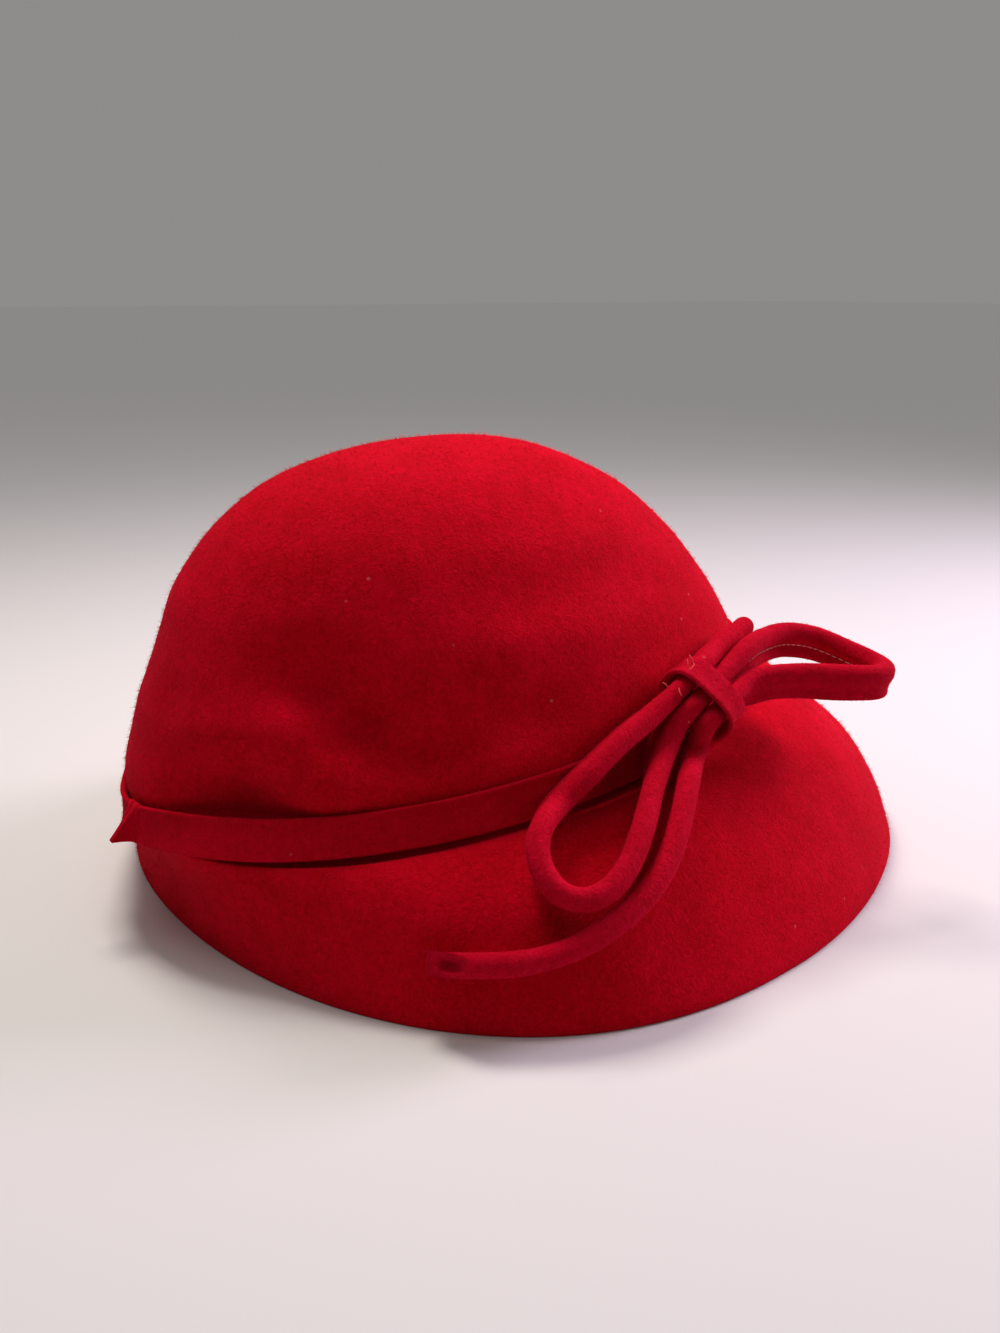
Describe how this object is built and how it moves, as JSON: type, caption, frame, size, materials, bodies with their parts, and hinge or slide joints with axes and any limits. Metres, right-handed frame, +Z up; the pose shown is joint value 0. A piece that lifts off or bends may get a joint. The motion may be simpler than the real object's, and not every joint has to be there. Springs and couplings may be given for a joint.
{
  "type": "cloche hat",
  "caption": "Crimson wool felt cloche hat with a rounded crown, a downward brim that is long in front, a felt band and a side bow of stitched felt strip.",
  "frame": {"origin": "centre of the bounding box's bottom face, on the plane that the rim rests on", "axes": "+Z up out of the crown, -Y towards the front of the hat, +X towards the wearer's left side"},
  "size_m": [0.249, 0.2744, 0.1335],
  "materials": {
    "body_felt": "brushed wool felt, matt with a short nap",
    "band_felt": "smooth pressed wool felt, matt",
    "strip_felt": "pressed wool felt, matt, with cut edges",
    "wrap_felt": "pressed wool felt, matt, with cut edges"
  },
  "bodies": {
    "root": {"felt_body": "body_felt", "hat_band": "band_felt", "bow_strip": "strip_felt", "bow_wrap": "wrap_felt"}
  },
  "joints": []
}
